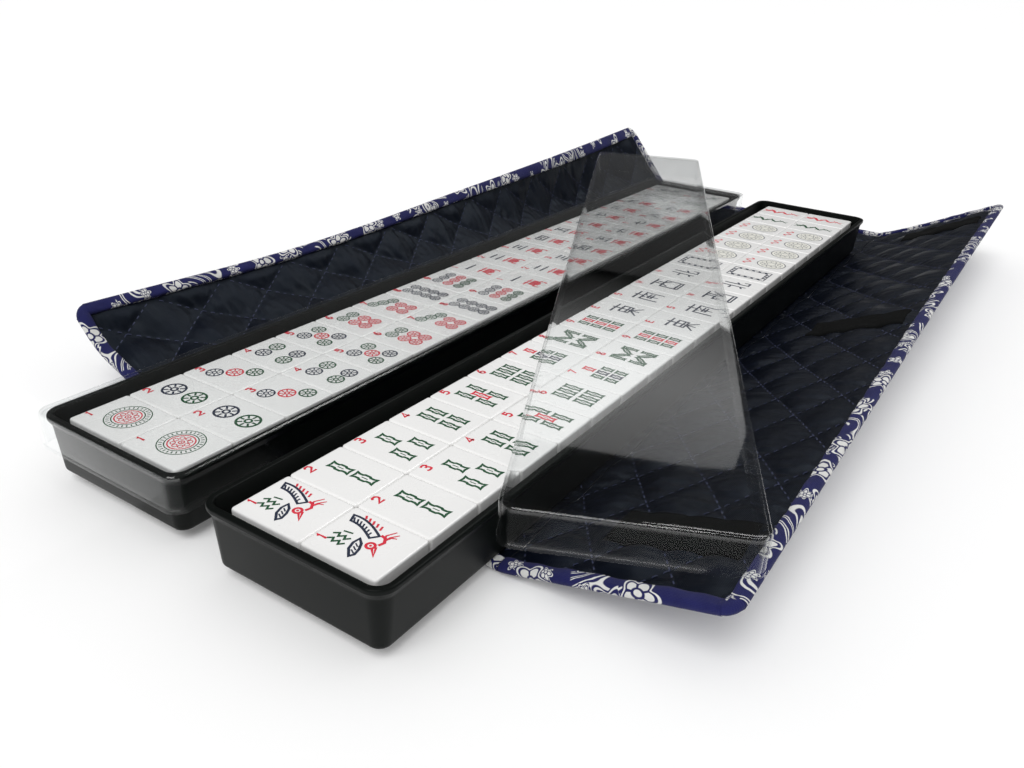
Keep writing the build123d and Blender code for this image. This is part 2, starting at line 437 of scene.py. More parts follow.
def lid_mesh(width, length):
    """A lid's section carried round its plan, open side down, its lower edge at height 0.

    The third result is 1 on the shoulder, 0.3 on the lower edge and 0 on the flat sheet between.
    """
    out, inner = lid_shoulder + lid_wall, lid_shoulder
    shoulder, bead = lid_height - lid_shoulder, lid_bead_height + lid_bead
    section = rounded_corners((
        (0, lid_height - lid_wall, 0),
        (inner, lid_height - lid_wall, lid_shoulder - lid_wall),
        (inner, shoulder - lid_edge_zone, 0),
        (inner, bead + lid_edge_zone, 0),
        (inner, bead, 0),
        (inner, 0, 0),
        (out + lid_bead, 0, 0.2),
        (out + lid_bead, lid_bead_height, 0),
        (out, bead, 0),
        (out, bead + lid_edge_zone, 0),
        (out, shoulder - lid_edge_zone, 0),
        (out, lid_height, lid_shoulder),
        (0, lid_height, 0),
    ))
    sides = 2 * (out + lid_bead)
    points, faces = swept(section, width - sides, length - sides, lid_plan_corner)
    reach, height = section.T
    on_shoulder = (height > shoulder - 0.01) & (reach > 0.5)
    thick = np.where(height < bead + 0.01, 0.3, np.where(on_shoulder, 1.0, 0.0))
    return points, faces, np.repeat(thick, len(points) // len(section))


def clear_piece(name, points, faces, thick):
    """A lid's piece; it also stores where the sheet is thick, for its material."""
    made = piece(name, [(points, faces, 0)], [clear_plastic])
    made.data.attributes.new("edge", "FLOAT", "POINT").data.foreach_set("value", thick)
    return made


low, high = box_of("lid_left")
points, faces, thick = lid_mesh(high[0] - low[0], high[1] - low[1])
left_lid = clear_piece("lid_left_clear", points + foot(low, high), faces, thick)
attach(left_lid, "left_lid")
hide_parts("lid_left")

# The loose lid leans from the left lid's shoulder down to the right tray's outer rim.

rim = box_of("tray_right")[1]
tilt = math.atan2(high[2] - rim[2], rim[0] - (high[0] - lid_shoulder))
low, high = box_of("lid_loose")
turn = Matrix.Rotation(tilt, 3, "Y") @ Matrix.Rotation(loose_lid_yaw, 3, "Z")
points = (points - (0, 0, lid_height / 2)) @ np.array(turn).T + (low + high) / 2
loose_lid = clear_piece("lid_loose_clear", points, faces, thick)
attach(loose_lid, "loose_lid")
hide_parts("lid_loose")

# ---- tiles ----
# White urea-resin blocks with rounded edges, polished. Each face is engraved with the usual sign
# of its suit and a small index, and the grooves are filled with red, green or blue-black paint.

tile_corner = 1.3
face_round = 0.85
paint_lift = 0.03
layer_lift = 0.0015
index_place = (-5.4, 11.8)
index_height = 3.5

resin = Finish("white_resin")
mottle = resin.noise(60.0, 3.0)
resin.set(
    Base_Color=resin.mix(mottle, (0.885, 0.88, 0.87), (0.925, 0.92, 0.91)),
    Roughness=0.22 + mottle * 0.1,
    Coat_Weight=0.25,
)
paints = []
for name, colour in (("red_paint", (0.56, 0.008, 0.03)), ("green_paint", (0.003, 0.068, 0.022)),
                     ("dark_paint", (0.010, 0.018, 0.045)), ("sand_paint", (0.68, 0.66, 0.60))):
    paint = Finish(name)
    uneven = paint.noise(900.0, 2.0)
    paler = tuple(min(1.0, part * 1.5 + 0.02) for part in colour)
    paint.set(Base_Color=paint.mix(uneven, colour, paler), Roughness=0.45)
    paints.append(paint)
red, green, dark, sand = 1, 2, 3, 4


def ribbon(points, width, closed, taper):
    """A painted stroke: each edge is the line's point plus or minus half the width across it."""
    line = np.array(points, float)
    if closed:
        ahead = np.roll(line, -1, 0) - line
        behind = line - np.roll(line, 1, 0)
    else:
        ahead = np.diff(line, axis=0, append=2 * line[-1:] - line[-2:-1])
        behind = np.diff(line, axis=0, prepend=2 * line[:1] - line[1:2])
    ahead = unit(ahead)
    along = unit(ahead + unit(behind))
    across = merge(-along[:, 1], along[:, 0])
    mitre = 1 / np.maximum((ahead * along).sum(1, keepdims=True), 0.6)
    slim = 1 - taper * np.linspace(0, 1, len(line))[:, None]
    half = across * mitre * slim * width / 2
    count = len(line)
    vertices = np.stack([line + half, line - half], 1).reshape(-1, 2)
    first = np.arange(count if closed else count - 1)
    second = (first + 1) % count
    faces = np.stack([2 * first, 2 * first + 1, 2 * second + 1, 2 * second], -1)
    return vertices, faces


def stroke(colour, points, width, closed=False, taper=0.0):
    """A ribbon and its paint, in a list, so that strokes add up to a sign."""
    return [(colour, *ribbon(points, width, closed, taper))]


def compass(count, start=0.0):
    """Unit vectors spread evenly round a circle, the first one at the start angle."""
    angle = np.arange(count) * 2 * math.pi / count + start
    return merge(np.cos(angle), np.sin(angle))


def circle(middle, radius, count=28):
    """Points on a circle: the middle plus the radius times each unit vector."""
    return middle + radius * compass(count)


def ring(colour, middle, inner, outer):
    return stroke(colour, circle(middle, (inner + outer) / 2), outer - inner, closed=True)


def spokes(colour, middle, inner, outer, count, width):
    """Short strokes that point away from a middle."""
    return sum((stroke(colour, [middle + way * inner, middle + way * outer], width)
                for way in compass(count)), [])


def brush(colour, text, middle, width, height, thickness, taper=0.3):
    """Strokes written as digit pairs on a ten by ten grid; a slash lifts the brush."""
    made = []
    for path in text.split("/"):
        line = np.array([(int(pair[0]), int(pair[1])) for pair in path.split()], float)
        line = (line / 9 - 0.5) * (width, height) + middle
        made += stroke(colour, line, thickness, taper=taper)
    return made


def coin(colour, middle, radius):
    """A dot: a ring, a hub and eight spokes that leave petals between them."""
    made = ring(colour, middle, radius * 0.81, radius) + ring(colour, middle, radius * 0.17, radius * 0.35)
    return made + spokes(colour, middle, radius * 0.42, radius * 0.84, 8, radius * 0.16)


def stick(colour, middle, length, width, lean=0.0):
    """A bamboo joint seen from the side: flared at both ends and knotted in the middle."""
    half = np.array([(0.92, 1.0), (0.64, 0.72), (0.64, 0.38), (0.9, 0.24), (0.9, -0.24), (0.64, -0.38),
                     (0.64, -0.72), (0.92, -1.0), (0.0, -0.93)])
    size = np.array([width, length]) / 2 - 0.4
    bar = np.array([(0.0, 0.3), (0.0, -0.3)])
    c, s = math.cos(lean), math.sin(lean)
    swing = np.array([[c, s], [-s, c]])
    made = stroke(colour, np.concatenate([half, -half]) * size @ swing + middle, 0.95, closed=True)
    return made + stroke(colour, bar * size @ swing + middle, 0.4)


numerals = {
    1: "27 49 40", 2: "07 29 69 87 85 00 90", 3: "08 29 69 87 65 35/65 83 81 60 20 01",
    4: "60 69 02 92", 5: "89 19 15 66 84 82 60 20 01", 6: "79 49 15 12 40 60 82 84 65 35 13",
    7: "09 89 30", 8: "45 17 29 69 77 45 12 20 70 82 45", 9: "20 50 84 87 69 39 17 15 34 64 85",
}
letters = {"east": "89 19 10 90/15 75", "south": "88 69 29 07 15 75 82 60 20 01", "west": "09 20 46 70 99",
           "north": "10 19 80 89"}
number_signs = {
    1: "05 95", 2: "17 87/02 92", 3: "18 88/25 75/02 92", 4: "18 12 92 98 18/48 45 24/68 65 85",
    5: "19 89/49 31/26 76 71/01 91", 6: "59 57/06 96/35 11/65 91", 7: "05 96/48 42 51 92",
    8: "39 35 11/69 65 91", 9: "06 76 72 92 93/49 45 11",
}
myriad_sign = "08 98/39 37/69 67/26 86 84 24 26/25 85/56 51/13 93 90 80/13 10/32 72"
wind_signs = {
    "east": "08 98/59 50/26 86 83 23 26/24 84/53 10/53 90",
    "south": "08 98/59 56/10 16 96 90/36 45/76 65/34 84/33 83/55 51",
    "west": "09 99/10 16 96 90 10/49 46 24/69 66 84/11 91",
    "north": "39 31/06 36/12 33/69 61 91 93/85 64",
}

sign_middle = np.array([1.3, -0.8])


def lattice(colour, across, up):
    """Places of one colour in rows and columns, each (colour, across, up)."""
    return [(colour, u, v) for v in up for u in across]


coin_places = {
    2: [(dark, 0, 5.9), (green, 0, -5.9)],
    3: [(dark, -5.0, 6.0), (red, 0, 0), (green, 5.0, -6.0)],
    4: [(dark, -3.8, 6.0), (green, 3.8, 6.0), (green, -3.8, -6.0), (dark, 3.8, -6.0)],
    5: [(dark, -4.4, 6.1), (green, 4.4, 6.1), (red, 0, 0), (green, -4.4, -6.1), (dark, 4.4, -6.1)],
    6: lattice(green, (-3.2, 3.2), (7.0,)) + lattice(red, (-3.2, 3.2), (-0.2, -6.6)),
    7: [(green, -4.9, 8.6), (green, 0, 6.6), (green, 4.9, 4.6)] + lattice(red, (-3.2, 3.2), (-1.8, -8.0)),
    8: lattice(dark, (-3.2, 3.2), (8.7, 2.9, -2.9, -8.7)),
    9: [(colour, u, v) for colour, v in ((dark, 6.8), (red, 0), (green, -6.8)) for u in (-5.6, 0, 5.6)],
}
coin_sizes = {2: 4.9, 3: 3.6, 4: 3.6, 5: 3.4, 6: 3.1, 7: 2.9, 8: 2.8, 9: 2.8}
stick_places = {
    2: lattice(green, (0,), (5.3, -5.3)),
    3: [(green, 0, 5.5)] + lattice(green, (-4.8, 4.8), (-5.2,)),
    4: lattice(green, (-2.7, 2.7), (5.0, -5.0)),
    5: lattice(green, (-3.8, 3.8), (5.0, -5.0)) + [(red, 0, 0)],
    6: lattice(green, (-4.4, 0, 4.4), (4.9, -4.9)),
    7: [(red, 0, 8.6)] + [(dark if u == 0 else green, u, v) for v in (2.2, -4.2) for u in (-4.4, 0, 4.4)],
    9: [(red if u == 0 else green, u, v) for v in (6.6, 0, -6.6) for u in (-4.4, 0, 4.4)],
}
stick_lengths = {2: 9.6, 3: 9.2, 4: 8.6, 5: 8.4, 6: 8.2, 7: 5.5, 9: 5.7}


def index(text):
    """The small red index in a face's upper left corner."""
    return brush(red, text, index_place, index_height * 0.72, index_height, 0.82, taper=0.0)


def dots(number):
    """Coins for the 2 to the 9; for the 1, wide rings round a wheel of eight small ones."""
    if number > 1:
        return sum((coin(colour, sign_middle + (u, v), coin_sizes[number])
                    for colour, u, v in coin_places[number]), [])
    middle = sign_middle
    made = ring(green, middle, 8.0, 8.4) + ring(green, middle, 5.6, 6.0)
    made += spokes(green, middle, 6.4, 7.6, 28, 0.42)
    made += ring(red, middle, 4.5, 4.95) + ring(red, middle, 0.8, 1.2) + ring(red, middle, 0.0, 0.35)
    for way in compass(8):
        made += ring(red, middle + 2.85 * way, 0.72, 1.02)
    return made


def bird():
    """A small bird diving to the left: a ribbed wing raised, a second one spread, tail and crest."""
    rise = np.linspace(0, 1, 9)
    outer = merge(4.4 + 3.9 * np.sin(rise * 1.9), -1.6 + 13.4 * rise)
    inner = merge(2.0 + 3.3 * np.sin(rise * 1.75), 0.2 + 10.4 * rise)
    made = stroke(dark, np.concatenate([outer, inner[::-1]]), 0.85, closed=True)
    for step in range(1, 8):
        made += stroke(dark, [inner[step], inner[step] * 0.35 + outer[step] * 0.65 + (0, 0.9)], 0.62)
    feather = [(0.2, 2.2), (-2.4, 2.5), (-5.2, 1.6), (-7.9, -0.9), (-6.4, -1.7), (-3.8, -1.1), (-1.4, 0.2)]
    made += stroke(dark, feather, 0.9, closed=True)
    for step in range(3):
        rib = np.array([(-2.2, 1.6), (-3.2, 0.0)]) - np.array([(1.5, 0.5), (1.5, 0.6)]) * step
        made += stroke(dark, rib, 0.5)
    body = [(0.8, -4.3), (2.8, -4.9), (4.7, -3.6), (5.0, -1.8)]
    made += stroke(red, body, 1.0)
    made += ring(red, (-0.6, -2.6), 0.9, 1.8) + ring(red, (-0.6, -2.6), 0.0, 0.45)
    made += stroke(red, [(-1.5, -3.9), (-4.0, -6.6), (-0.2, -4.4)], 0.8)
    for reach, drop in ((8.9, -4.6), (8.2, -6.2), (6.4, -6.6)):
        made += stroke(red, [(3.6, -4.2), (5.8, drop + 1.6), (reach, drop)], 0.75, taper=0.5)
    for step in range(5):
        crest = np.array([(6.6, 0.2), (8.6, 0.8)]) + np.array([(0.5, 1.8), (0.35, 1.9)]) * step
        made += stroke(red, crest, 0.7)
    for start in ((-1.4, 4.2), (-4.2, 4.0)):
        zigzag = np.array([(0, 0), (-1.5, 1.4), (0.1, 2.2), (-1.4, 3.8), (0.2, 4.6), (-1.0, 6.2)]) + start
        made += stroke(green, zigzag, 0.72)
    return made + stroke(green, [(0.8, 5.4), (0.2, 8.6)], 0.62)


def bamboo(number):
    """A bird for the 1, two rows of straight and leaning sticks for the 8, or sticks in rows."""
    if number == 1:
        return bird()
    if number == 8:
        made = []
        for side in (1, -1):
            for u, lean in ((-6.0, 0.0), (6.0, 0.0), (-2.5, 0.7 * side), (2.5, -0.7 * side)):
                made += stick(green, sign_middle + (u, 4.6 * side), 7.6, 2.9, lean)
        return made
    width = 4.4 if number < 4 else 3.6
    return sum((stick(colour, sign_middle + (u, v), stick_lengths[number], width)
                for colour, u, v in stick_places[number]), [])


def characters(number):
    """A number's sign over the red one for ten thousand."""
    return (brush(dark, number_signs[number], (0.6, 5.2), 9.6, 7.6, 1.3)
            + brush(red, myriad_sign, (0.6, -5.6), 9.6, 9.6, 0.95, taper=0.15))


def wind(name):
    """A wind's sign and its letter."""
    return brush(dark, wind_signs[name], (0.8, -1.6), 11.5, 14.5, 1.15) + index(letters[name])


def frame_sign():
    """The blank tile's frame: two nested rectangles joined by short bars."""
    made = []
    for width, height in ((15.0, 21.0), (11.0, 17.0)):
        box = np.array([(-1, -1), (1, -1), (1, 1), (-1, 1)]) * (width / 2, height / 2)
        made += stroke(dark, box, 0.55, closed=True)
    for side in (1, -1):
        for v in np.linspace(-7.4, 7.4, 5):
            made += stroke(dark, [(5.6 * side, v), (7.4 * side, v)], 1.5)
        for u in (-3.2, 0, 3.2):
            made += stroke(dark, [(u, 8.6 * side), (u, 10.4 * side)], 1.5)
    return made


def medallion():
    """A round picture of plain looped leaves in a ring, over a sand ground, with a red flourish."""
    middle = np.array([0.6, -4.0])
    made = ring(sand, middle, 0.0, 7.7) + ring(dark, middle, 7.6, 8.1)
    for way in compass(10):
        made += stroke(dark, circle(middle + way * 4.8, 1.4, 12), 0.3, closed=True)
    made += stroke(dark, circle(middle, 2.4, 18), 0.3, closed=True)
    t = np.linspace(0, 1, 22)
    return made + stroke(red, merge(-6.2 + 11.6 * t, 9.2 + 1.8 * np.sin(t * 4 * math.pi)), 0.8)


def serpent(colour):
    """A long curling beast: a waved body with short spines, a round head and a forked tail."""
    t = np.linspace(0, 1, 40)
    body = merge(2.6 * np.sin(t * 5 * math.pi) * (1 - 0.4 * t), 9.6 - 18.6 * t)
    made = stroke(colour, body, 2.0, taper=0.5)
    for place in range(3, 37, 3):
        side = 1 if place % 2 else -1
        tip = body[place] + (2.4 * side, 0.9)
        made += stroke(colour, [body[place], tip], 0.55, taper=0.5)
    made += ring(colour, body[0] + (0, 0.8), 0.5, 1.7)
    for side in (1, -1):
        made += stroke(colour, [body[0] + (0, 1.6), body[0] + (2.6 * side, 3.4)], 0.5)
        made += stroke(colour, [body[-1], body[-1] + (1.8 * side, -2.0)], 0.5)
    return made


def flower(number):
    """A plain five-petalled blossom on a leafy stem, turned over for the second kind."""
    side = 1 if number == 1 else -1
    middle = np.array([1.6 * side, 3.2])
    made = []
    for way in compass(5, 0.3):
        made += stroke(dark, circle(middle + way * 2.9, 1.9, 14), 0.5, closed=True)
    made += ring(green, middle, 0.3, 1.1)
    stem = [(0.8 * side, -1.4), (-0.6 * side, -5.2), (-3.4 * side, -8.8), (-6.0 * side, -10.2)]
    made += stroke(dark, stem, 0.7)
    for root, tip in (((0, -3.4), (5.2, -4.6)), ((-1.6, -6.6), (3.6, -9.6)), ((-1.0, -5.8), (-6.0, -4.4))):
        a, b = np.array(root) * (side, 1), np.array(tip) * (side, 1)
        lift = np.array([0.0, 1.3])
        made += stroke(green, [a, (a + b) / 2 + lift, b, (a + b) / 2 - lift], 0.5, closed=True)
    return made


suits = (("dots", dots, 9), ("characters", characters, 9), ("flowers", flower, 2), ("bamboo", bamboo, 9))
rows = [(f"{suit}_{n}", sign(n) + index(numerals[n])) for suit, sign, most in suits
        for n in range(1, most + 1)]
rows += [(f"wind_{name}", wind(name)) for name in wind_signs]
rows += [("dragon_white", frame_sign())] + [(f"joker_{n}", medallion()) for n in (1, 2, 3, 4)]
rows += [("dragon_green", serpent(green)), ("dragon_red", serpent(red))]
bodies = frame["record"]["behaviour"]["bodies"]
body_of_node = {node: body for body, nodes in bodies.items() for node in nodes}
tile_gap = 0.12

for node, sign in rows:
    low, high = box_of(node)
    width = (high[0] - low[0] - tile_gap) / 2
    length, height = high[1] - low[1], high[2] - low[2]
    section = rounded_corners((
        (-1.0, 0, 0), (0, 0, 0.5), (0, height, face_round), (-tile_corner, height, 0),
    ), 4)
    block, block_faces = swept(section, width, length, tile_corner, 4)
    parts = []
    for side in (-1, 1):
        middle = foot(low, high) + (side * (width + tile_gap) / 2, 0, 0)
        parts.append((block + middle, block_faces, 0))
        for layer, (colour, flat, faces) in enumerate(sign):
            lift = paint_lift + layer_lift * layer
            raised = merge(-flat[:, 1], flat[:, 0], height + lift)
            parts.append((raised + middle, faces.tolist(), colour))
    tiles = piece(f"{node}_tiles", parts, [resin] + paints, sharp=40.0, outward=False)
    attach(tiles, body_of_node[node])
    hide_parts(node)

# ---- quilted lining ----
# Black satin over thin wadding, quilted in long diamonds with dark blue thread. It is one mat in
# the real case; here its floor and its two flaps are three pads that meet at the fold lines.

wrap_length = 500.0
wrap_thickness = 3.4
lining_under = 0.9
binding_width = 5.5
binding_lap = 0.5
fold_gap = 0.5
left_fold = box_of("floor_lining")[0][0]
right_fold = box_of("floor_lining")[1][0]
fold_at = {-1: left_fold, 1: right_fold}
flap_width = {-1: 67.0, 1: 83.0}

# Each flap's underside is lofted through sections across it: where each stands along the wrap, as
# shares of its length, then its knots across the flap, and its points, out from the fold and up.

section_places = {-1: (-0.5, -0.25, 0.03, 0.35, 0.5), 1: (-0.5, -0.33, -0.02, 0.5)}
section_knots = {-1: (-0.3, 0, 0.33, 0.66, 1), 1: (-0.3, 0, 0.26, 0.61, 1)}
section_points = {
    -1: (((-20, 0), (0, 0), (20, 9), (41, 18.5), (57, 34.5)),
         ((-20, 0), (0, 0), (18, 8), (36, 18), (50.5, 33.5)),
         ((-20, 0), (0, 0), (16, 7), (34, 18.5), (48.5, 39.5)),
         ((-20, 0), (0, 0), (16, 5.5), (35, 17.5), (46.5, 48)),
         ((-20, 0), (0, 0), (11, 10), (25, 27), (46.5, 51.5))),
    1: (((-20, 0), (0, 0), (20, 5), (48, 12.5), (78.5, 20.5)),
        ((-20, 0), (0, 0), (20, 5.5), (48, 15.5), (78.5, 25)),
        ((-20, 0), (0, 0), (20, 7), (46, 18), (78, 32)),
        ((-20, 0), (0, 0), (20, 8), (46, 21), (76.5, 36.5))),
}

quilt_across = 27.0
quilt_along = 39.0
quilt_depth = 2.3
quilt_grid = 1.3
press_width = 5.0
fold_bend = 0.009
normal_start = 0.12


def smooth(knots, values, at):
    """A cubic Hermite curve through each point's row of values, its slopes central differences."""
    knots = np.array(knots, float)
    slopes = np.gradient(values, knots, axis=1)
    left = np.clip(np.searchsorted(knots, at, "right") - 1, 0, len(knots) - 2)
    row = np.arange(len(at))
    span = (knots[left + 1] - knots[left])[:, None]
    t = (at - knots[left])[:, None] / span
    return (values[row, left] * (1 + 2 * t) * (1 - t) ** 2 + slopes[row, left] * span * t * (1 - t) ** 2
            + values[row, left + 1] * t ** 2 * (3 - 2 * t) + slopes[row, left + 1] * span * t ** 2 * (t - 1))


def underside(side, p, q):
    """The cloth's underside at p across it, from the fold, and q along it."""
    if side == 0:
        return merge(p, q, 0.0)
    sections = np.array(section_points[side], float).reshape(len(section_points[side]), -1)
    rows = np.broadcast_to(sections, (len(q),) + sections.shape)
    section = smooth(np.array(section_places[side]) * wrap_length, rows, q).reshape(len(q), -1, 2)
    run, height = smooth(section_knots[side], section, p / flap_width[side]).T
    return merge(fold_at[side] + side * (fold_gap + run), q, height)


def cloth(side, p, q, h):
    """Points of the wrap: the underside plus h along its normal, which is upright at the fold.

    side is -1 for the left flap, 0 for the floor and 1 for the right flap.
    """
    p, q, h = (np.ravel(values) for values in np.broadcast_arrays(p, q, h))
    base = underside(side, p, q)
    if side == 0:
        return base + merge(0.0, 0.0, h)
    step = 0.5
    across = underside(side, p + step, q) - underside(side, p - step, q)
    along = underside(side, p, q + step) - underside(side, p, q - step)
    normal = unit(side * np.cross(across, along))
    share = np.clip(p / flap_width[side] / normal_start, 0, 1)[:, None]
    return base + unit((1 - share) * (0, 0, 1.0) + share * normal) * h[:, None]


def print_place(side, p):
    """How far across the whole unfolded wrap a point is."""
    return p if side == 0 else fold_at[side] + side * p


wrinkle_random = np.random.default_rng(7)
wrinkles = wrinkle_random.uniform((-0.5, 0.35, 0), (0.5, 1.25, 6.3), (9, 3))


def pillow(across, along):
    """Height of the quilting, 0 in a seam and 1 in the middle of a diamond, with small puckers.

    The seams are where a or b is whole; the height is the root of |sin(pi a) sin(pi b)|. The
    puckers are a sum of sine waves that run out from the seams and fade towards the middle.
    """
    a = along / quilt_along + across / quilt_across
    b = along / quilt_along - across / quilt_across
    dome = np.abs(np.sin(math.pi * a) * np.sin(math.pi * b))
    pucker = sum(np.sin(along * wave + across * lean + start) for lean, wave, start in wrinkles) / 9
    return dome ** 0.65 + 0.42 * pucker * (1 - dome) * np.minimum(dome * 6, 1)


def lining_top(side, p, q):
    """Height of the satin over the underside: quilted, and pressed down at the binding."""
    along_edge = wrap_length / 2 - binding_width - np.abs(q)
    to_binding = along_edge if side == 0 else np.minimum(along_edge, flap_width[side] - binding_width - p)
    press = np.clip(to_binding / press_width, 0, 1)
    raised = pillow(print_place(side, p), q)
    return wrap_thickness - quilt_depth * (1 - raised * (0.35 + 0.65 * press)).clip(0, 1.1)


def pad_mesh(side, start, stop, top, bottom, grid, inset):
    """A closed pad: each row runs across its top and back below; rows follow the wrap's length."""
    across = np.linspace(start, stop, int((stop - start) / grid) + 1)
    half = wrap_length / 2 - inset
    along = np.linspace(-half, half, int(2 * half / grid) + 1)
    p = np.concatenate([across, across[::-1]])
    p, q = np.meshgrid(p, along)
    upper = np.arange(p.shape[1]) < len(across)
    h = np.where(upper, top(side, p, q), bottom(side, p, q))
    points = cloth(side, p, q, h)
    return points, tube_faces(*p.shape), merge(print_place(side, p), q).reshape(-1, 2)


def map_cloth(made, flat):
    """Store each vertex's place on the unfolded cloth, in metres, as the piece's UV map."""
    layer = made.data.uv_layers.new(name="flat")
    corners = np.empty(len(made.data.loops), int)
    made.data.loops.foreach_get("vertex_index", corners)
    layer.data.foreach_set("uv", (flat[corners] * mm).ravel())


def hang(made, side):
    """The floor's cloth is attached to the wrap; a flap's keeps its place, its transform baked into its
    points.
    """
    if side == 0:
        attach(made, "wrap")
        return
    fold = fold_at[side] * mm
    "left_flap" if side < 0 else "right_flap"
    fold + side * fold_bend
    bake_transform(made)


satin = Finish("black_satin")
flat = satin.place("UV")
weave = satin.wave("DIAGONAL", {"Vector": flat, "Scale": 900.0, "Distortion": 1.0, "Detail": 1.0})
crush = satin.node("ShaderNodeMapping", None, {"Vector": flat, "Scale": (1.0, 1.5, 1.0)})
crush = satin.noise(46.0, 2.2, crush)
satin.set(
    Base_Color=satin.mix(crush, (0.0010, 0.0016, 0.0040), (0.0045, 0.0065, 0.015)),
    Roughness=0.30 + crush * 0.22,
    Specular_IOR_Level=0.24,
    Specular_Tint=(0.7, 0.85, 1.0, 1.0),
    Sheen_Weight=0.018,
    Sheen_Roughness=0.4,
    Sheen_Tint=(0.45, 0.55, 0.8, 1.0),
)
satin.bump(crush * 12.0 + weave * 0.2, 0.0003, 0.8)

thread = Finish("blue_thread")
twist = thread.noise(2400.0, 2.0)
thread.set(Base_Color=thread.mix(twist, (0.010, 0.014, 0.046), (0.036, 0.048, 0.115)), Roughness=0.6)

parts_of_wrap = (("left_flap", -1, 0.0, flap_width[-1] - binding_width + binding_lap),
                 ("floor", 0, left_fold, right_fold),
                 ("right_flap", 1, 0.0, flap_width[1] - binding_width + binding_lap))

for name, side, start, stop in parts_of_wrap:
    points, faces, flat_places = pad_mesh(
        side, start, stop, lining_top, lambda side, p, q: lining_under, quilt_grid,
        binding_width - binding_lap)
    lining = piece(f"{name}_satin", [(points, faces, 0)], [satin], sharp=70.0)
    map_cloth(lining, flat_places)
    hang(lining, side)
    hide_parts(f"{name}_lining")

# Quilting thread: short stitches that show along every seam of the diamonds.

stitch_pitch = 4.0
stitch_length = 2.1
stitch_width = 0.5
stitch_rise = 0.25
stitch_clear = 0.08


def stitches(side, start, stop):
    """Vertices and faces of every stitch: four rings of four points along each one."""
    pitch = stitch_pitch * np.array([quilt_across, quilt_along]) / math.hypot(quilt_across, quilt_along)
    half = wrap_length / 2 - binding_width
    reach = int((half + (right_fold - left_fold)) / quilt_along) + 4
    middles, ways = [], []
    count = int(4 * half / pitch[1])
    step = np.arange(-count // 2, count // 2) * pitch[0]
    line = np.arange(-2 * reach, 2 * reach)[:, None]
    for lean in (1, -1):
        q = (line - lean * step / quilt_across) * quilt_along
        middles.append(merge(step, q).reshape(-1, 2))
        ways.append(np.tile((1.0, -lean * quilt_along / quilt_across), (q.size, 1)))
    middle, way = np.concatenate(middles), unit(np.concatenate(ways))
    if side != 0:
        middle[:, 0] = side * (middle[:, 0] - fold_at[side])
        way[:, 0] *= side
    inside = (np.abs(middle[:, 1]) < half - 1) & (middle[:, 0] > start + 1) & (middle[:, 0] < stop - 1)
    middle, way = middle[inside], way[inside]
    over = merge(-way[:, 1], way[:, 0])
    along = np.array([-0.5, -0.3, 0.3, 0.5]) * stitch_length
    rise = np.array([-0.3, 1.0, 1.0, -0.3]) * stitch_rise
    ring = np.array([(0.5, 0.0), (0.0, 1.0), (-0.5, 0.0), (0.0, -0.6)])
    flat = (middle[:, None, None] + along[:, None, None] * way[:, None, None]
            + ring[:, :1] * stitch_width * over[:, None, None])
    p, q = flat[..., 0].ravel(), flat[..., 1].ravel()
    lift = rise[:, None] + ring[:, 1] * stitch_width * 0.4
    h = lining_top(side, p, q) + stitch_clear + np.broadcast_to(lift, flat.shape[:3]).ravel()
    points = cloth(side, p, q, h)
    one = np.concatenate([ring_faces(4, 4), [[3, 2, 1, 0], [12, 13, 14, 15]]])
    faces = (one[None] + 16 * np.arange(len(middle))[:, None, None]).reshape(-1, 4)
    return points, faces.tolist()


for name, side, start, stop in parts_of_wrap:
    points, faces = stitches(side, start, stop)
    seam = piece(f"{name}_stitches", [(points, faces, 0)], [thread])
    hang(seam, side)

# ---- printed cover and binding ----
# Navy cotton calico with white flowers and scrolls. It covers the outside of the wrap and is
# folded over its edge as a binding, sewn down on the lining.

cover_top = 0.8
cover_dimple = 0.5
cover_grid = 2.6
corner_radius = 7.0
binding_rise = 0.25
binding_step = 1.6
binding_ripples = ((0.22, 0.55, 0.0), (0.16, 0.21, 1.0))

calico = Finish("calico")
flat = calico.place("UV")
drift = calico.noise(70.0, 1.0, flat).beside("Color")
warped = calico.vector("MULTIPLY_ADD", drift, (0.006, 0.006, 0.0), flat)


def blossoms(place, scale, size, petals, seed):
    """White flowers, one in each cell of a loose grid: petals inside a white line, and an eye.

    The second result is how far out a point is, 1 at the petals' ends.
    """
    moved = calico.vector("ADD", place, (seed, seed * 0.7, 0.0))
    centre = calico.node("ShaderNodeTexVoronoi", {"voronoi_dimensions": "2D"},
                         {"Vector": moved, "Scale": scale, "Randomness": 0.75}, "Position")
    x = calico.node("ShaderNodeSeparateXYZ", None, {"Vector": calico.vector("SUBTRACT", moved, centre)})
    y = x.beside("Y")
    wave = (y.math("ARCTAN2", x) * petals).math("COSINE")
    spread = (x * x + y * y).math("SQRT") / size
    edge = spread / (wave * 0.2 + 0.8)
    petal = calico.step(edge, 0.74, 0.69) * calico.step((wave + 1.0) * spread, 0.06, 0.13)
    petal = petal * calico.step(spread, 0.24, 0.30)
    eye = calico.step(spread, 0.17, 0.13)
    line = calico.step(edge, 0.86, 0.90) * calico.step(edge, 1.04, 1.0)
    return petal.math("MAXIMUM", eye).math("MAXIMUM", line), edge


def curls(place, scale):
    """Thin white scrolls in pairs: each side of where a soft noise crosses any of a few levels."""
    level = (calico.noise(scale, 0.0, place) * 9.0).math("FRACT")
    off = (level - 0.5).math("ABSOLUTE")
    return calico.step(off, 0.06, 0.09) * calico.step(off, 0.21, 0.18)


